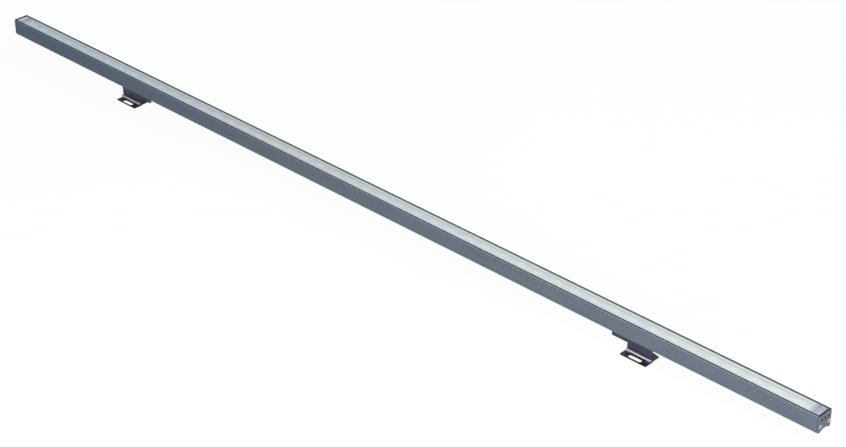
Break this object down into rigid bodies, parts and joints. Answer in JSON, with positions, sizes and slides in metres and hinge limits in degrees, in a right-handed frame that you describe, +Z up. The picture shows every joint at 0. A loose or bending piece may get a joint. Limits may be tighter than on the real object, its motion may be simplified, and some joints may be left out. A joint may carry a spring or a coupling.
{
  "type": "outdoor wall washer light",
  "caption": "Slim square linear wall washer bar with a recessed glass strip, on two hinged slotted feet that slide along a groove underneath.",
  "frame": {"origin": "centre of the underside of the feet, under the middle of the overall outline", "axes": "+X along the bar, +Z up towards the glass, +Y to the back"},
  "size_m": [1, 0.0186, 0.0322],
  "materials": {
    "body_paint": "powder coated",
    "bracket_paint": "satin paint",
    "foot_paint": "satin paint",
    "clear_glass": "clear toughened",
    "dark_seal": "matte",
    "stainless": "brushed",
    "zinc_steel": "zinc plated",
    "socket_plastic": "moulded",
    "contact_brass": "plain",
    "lead_jacket": "satin",
    "pad_rubber": "matte",
    "board_white": "white lacquer",
    "led_phosphor": "satin",
    "chip_black": "matte",
    "tray_white": "satin white",
    "optic_frost": "frosted"
  },
  "bodies": {
    "bar": {"housing": "body_paint", "cover_glass": "clear_glass", "glass_gasket": "dark_seal", "optic_tray": "tray_white", "optic_bar": "optic_frost", "board_link": "socket_plastic", "end_cap_left": "body_paint", "end_gasket_left": "dark_seal", "end_screws_left": "stainless", "link_socket_left": "socket_plastic", "socket_contacts_left": "contact_brass", "supply_leads_left": "lead_jacket", "thermal_pad_left": "pad_rubber", "led_board_left": "board_white", "led_chips_left": "led_phosphor", "board_drivers_left": "chip_black", "end_cap_right": "body_paint", "end_gasket_right": "dark_seal", "end_screws_right": "stainless", "link_socket_right": "socket_plastic", "socket_contacts_right": "contact_brass", "supply_leads_right": "lead_jacket", "thermal_pad_right": "pad_rubber", "led_board_right": "board_white", "led_chips_right": "led_phosphor", "board_drivers_right": "chip_black"},
    "bracket_left": {"hinge_arm_left": "bracket_paint", "clamp_nut_left": "zinc_steel", "clamp_screws_left": "stainless", "hinge_barrel_left": "stainless"},
    "foot_left_unit": {"foot_left": "foot_paint", "hinge_lugs_left": "stainless", "hinge_pin_left": "stainless", "friction_washers_left": "stainless"},
    "bracket_right": {"hinge_arm_right": "bracket_paint", "clamp_nut_right": "zinc_steel", "clamp_screws_right": "stainless", "hinge_barrel_right": "stainless"},
    "foot_right_unit": {"foot_right": "foot_paint", "hinge_lugs_right": "stainless", "hinge_pin_right": "stainless", "friction_washers_right": "stainless"}
  },
  "joints": [
    {"name": "bracket_left_slide", "type": "slide", "parent": "bar", "child": "bracket_left", "axis": [-1, 0, 0], "range_m": [-0.28, 0.16]},
    {"name": "foot_left_hinge", "type": "hinge", "parent": "bracket_left", "child": "foot_left_unit", "pos_m": [-0.3216, -0.0022, 0.0025], "axis": [1, 0, 0], "range_deg": [-85, 0]},
    {"name": "bracket_right_slide", "type": "slide", "parent": "bar", "child": "bracket_right", "axis": [1, 0, 0], "range_m": [-0.28, 0.16]},
    {"name": "foot_right_hinge", "type": "hinge", "parent": "bracket_right", "child": "foot_right_unit", "pos_m": [0.3216, -0.0022, 0.0025], "axis": [1, 0, 0], "range_deg": [-85, 0]}
  ]
}
